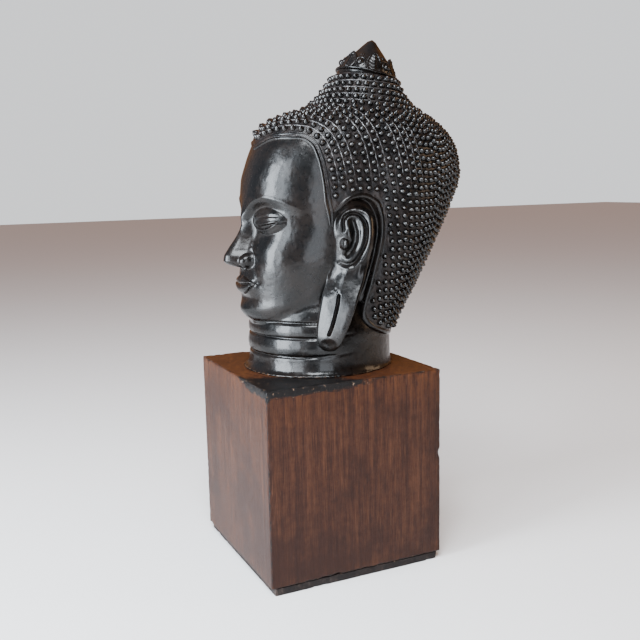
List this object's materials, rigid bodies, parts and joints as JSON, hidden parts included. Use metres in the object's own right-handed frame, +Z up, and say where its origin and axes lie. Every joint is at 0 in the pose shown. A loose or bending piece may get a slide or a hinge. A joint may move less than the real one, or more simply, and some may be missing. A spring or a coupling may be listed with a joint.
{
  "type": "bronze buddha head",
  "caption": "Dark bronze Buddha head with curled hair, raised crown, petalled bud finial and long slit ear lobes, resting on a square stained wooden block with a thin base pad",
  "frame": {"origin": "middle of the stand's underside, on the surface it rests on", "axes": "+Z up, the face looks along -Y, the figure's left ear is on +X; the head is symmetric about the plane X = 0"},
  "size_m": [0.127, 0.1764, 0.358],
  "materials": {
    "dark_bronze": "cast bronze with a glossy brown-black patina, duller between the curls and paler brown at the chipped foot",
    "stained_wood": "dark walnut-brown stain with straight upright grain, satin, worn black along the top edge",
    "base_board": "matt near-black board, speckled and chipped at its corners"
  },
  "bodies": {
    "root": {"bronze_head": "dark_bronze", "wooden_block": "stained_wood", "base_pad": "base_board"}
  },
  "joints": []
}
